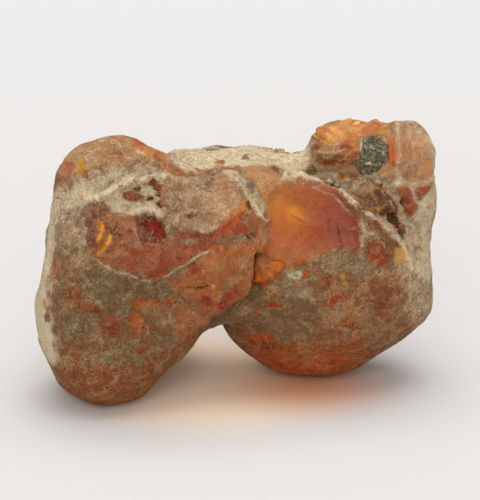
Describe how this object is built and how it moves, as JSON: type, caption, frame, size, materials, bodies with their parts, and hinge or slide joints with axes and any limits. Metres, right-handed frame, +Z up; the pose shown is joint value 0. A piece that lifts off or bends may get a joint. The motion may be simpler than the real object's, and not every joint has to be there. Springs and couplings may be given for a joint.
{
  "type": "raw amber piece",
  "caption": "Raw amber lump on rounded lobes with an arched hollow between them, a knob and a broken hump on top, a pale weathered crust, glossy broken faces and a plug of dark grit.",
  "frame": {"origin": "middle of the lump's outline seen from above, on the surface that it rests on", "axes": "+Z up, +X to the right as seen from the broken front, the front faces -Y"},
  "size_m": [0.0682, 0.0418, 0.0441],
  "materials": {
    "amber": "weathered khaki and cream crust, worn thin to red-brown, with glossy see-through orange and red where it is broken",
    "grit": "dull dark grey grit, rough and grainy"
  },
  "bodies": {
    "root": {"amber": "amber", "grit_plug": "grit"}
  },
  "joints": []
}
